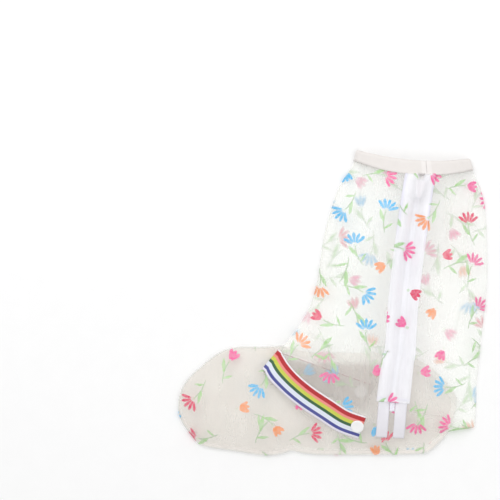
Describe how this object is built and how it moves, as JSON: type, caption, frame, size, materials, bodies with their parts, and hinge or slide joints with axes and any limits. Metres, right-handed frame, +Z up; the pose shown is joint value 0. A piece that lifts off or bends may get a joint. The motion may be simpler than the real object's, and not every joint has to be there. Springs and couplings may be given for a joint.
{
  "type": "rain shoe cover",
  "caption": "Boot-height rain shoe cover of printed film lying on its side, with a soft sole, a zip under a flap, a bound mouth and an elastic instep strap.",
  "frame": {"origin": "on the ground under the middle of the cover as it lies on its side", "axes": "+Z up from the ground, the toe towards -X, the leg and its mouth towards +Y"},
  "size_m": [0.324, 0.3204, 0.0335],
  "materials": {
    "film": "milky translucent film with scattered printed flowers",
    "sole": "matt beige",
    "band": "pinkish-white folded binding",
    "zip_tape": "lilac-white woven tape",
    "zip_teeth": "lilac-white moulded",
    "strap": "woven elastic with lengthwise coloured stripes",
    "disc": "white satin"
  },
  "bodies": {
    "root": {"upper_film": "film", "sole": "sole", "mouth_band": "band", "zip_tape_front": "zip_tape", "zip_tape_back": "zip_tape", "zip_chain": "zip_teeth", "zip_slider": "zip_teeth", "zip_flap": "film", "instep_strap": "strap", "strap_disc_outer": "disc", "strap_disc_inner": "disc"}
  },
  "joints": []
}
